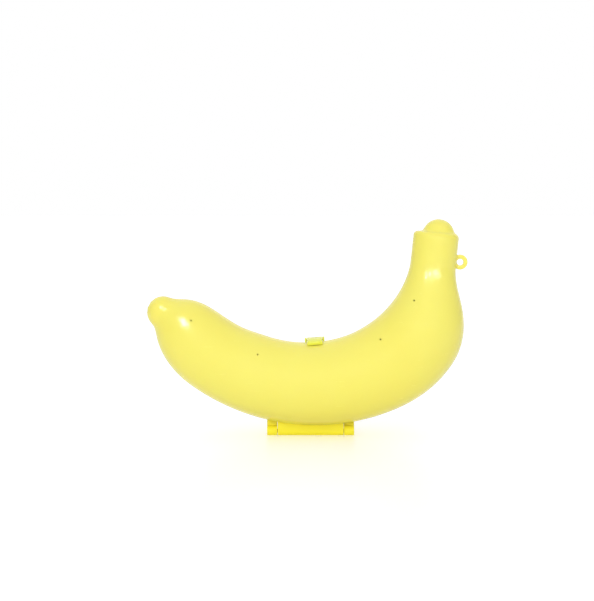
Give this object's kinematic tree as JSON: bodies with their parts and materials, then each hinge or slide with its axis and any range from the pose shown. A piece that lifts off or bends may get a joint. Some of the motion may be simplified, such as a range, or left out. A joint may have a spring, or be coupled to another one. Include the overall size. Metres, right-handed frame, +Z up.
{
  "type": "banana carrying case",
  "caption": "Hinged clamshell case in the shape of a banana that stands on its hinge, with a snap latch over the rim, vent holes and a key-ring loop on the neck",
  "frame": {"origin": "middle of the hinge's flat foot, on which the case stands", "axes": "+X along the case from the blossom end to the stem, +Y from the front half to the rear half, +Z up"},
  "size_m": [0.2019, 0.052, 0.1363],
  "materials": {
    "shell_yellow": "satin gloss moulded polypropylene",
    "hinge_yellow": "satin gloss moulded polypropylene, deeper yellow",
    "latch_yellow": "satin gloss moulded polypropylene",
    "pin_steel": "drawn stainless wire"
  },
  "bodies": {
    "rear_half": {"rear_shell": "shell_yellow", "rear_hinge_leaf": "hinge_yellow", "hinge_pin": "pin_steel", "latch_bracket": "latch_yellow", "latch_pin": "pin_steel", "keyring_loop": "shell_yellow"},
    "front_half": {"front_shell": "shell_yellow", "front_hinge_leaf": "hinge_yellow", "latch_catch": "latch_yellow"},
    "latch": {"latch_flap": "latch_yellow"}
  },
  "joints": [
    {"name": "front_swing", "type": "hinge", "parent": "rear_half", "child": "front_half", "pos_m": [0, 0, 0.00259], "axis": [1, 0, 0], "range_deg": [0, 180]},
    {"name": "latch_lift", "type": "hinge", "parent": "rear_half", "child": "latch", "pos_m": [0.00255, 0.0073, 0.05978], "axis": [-0.9973, 0, -0.0739], "range_deg": [0, 110]}
  ]
}
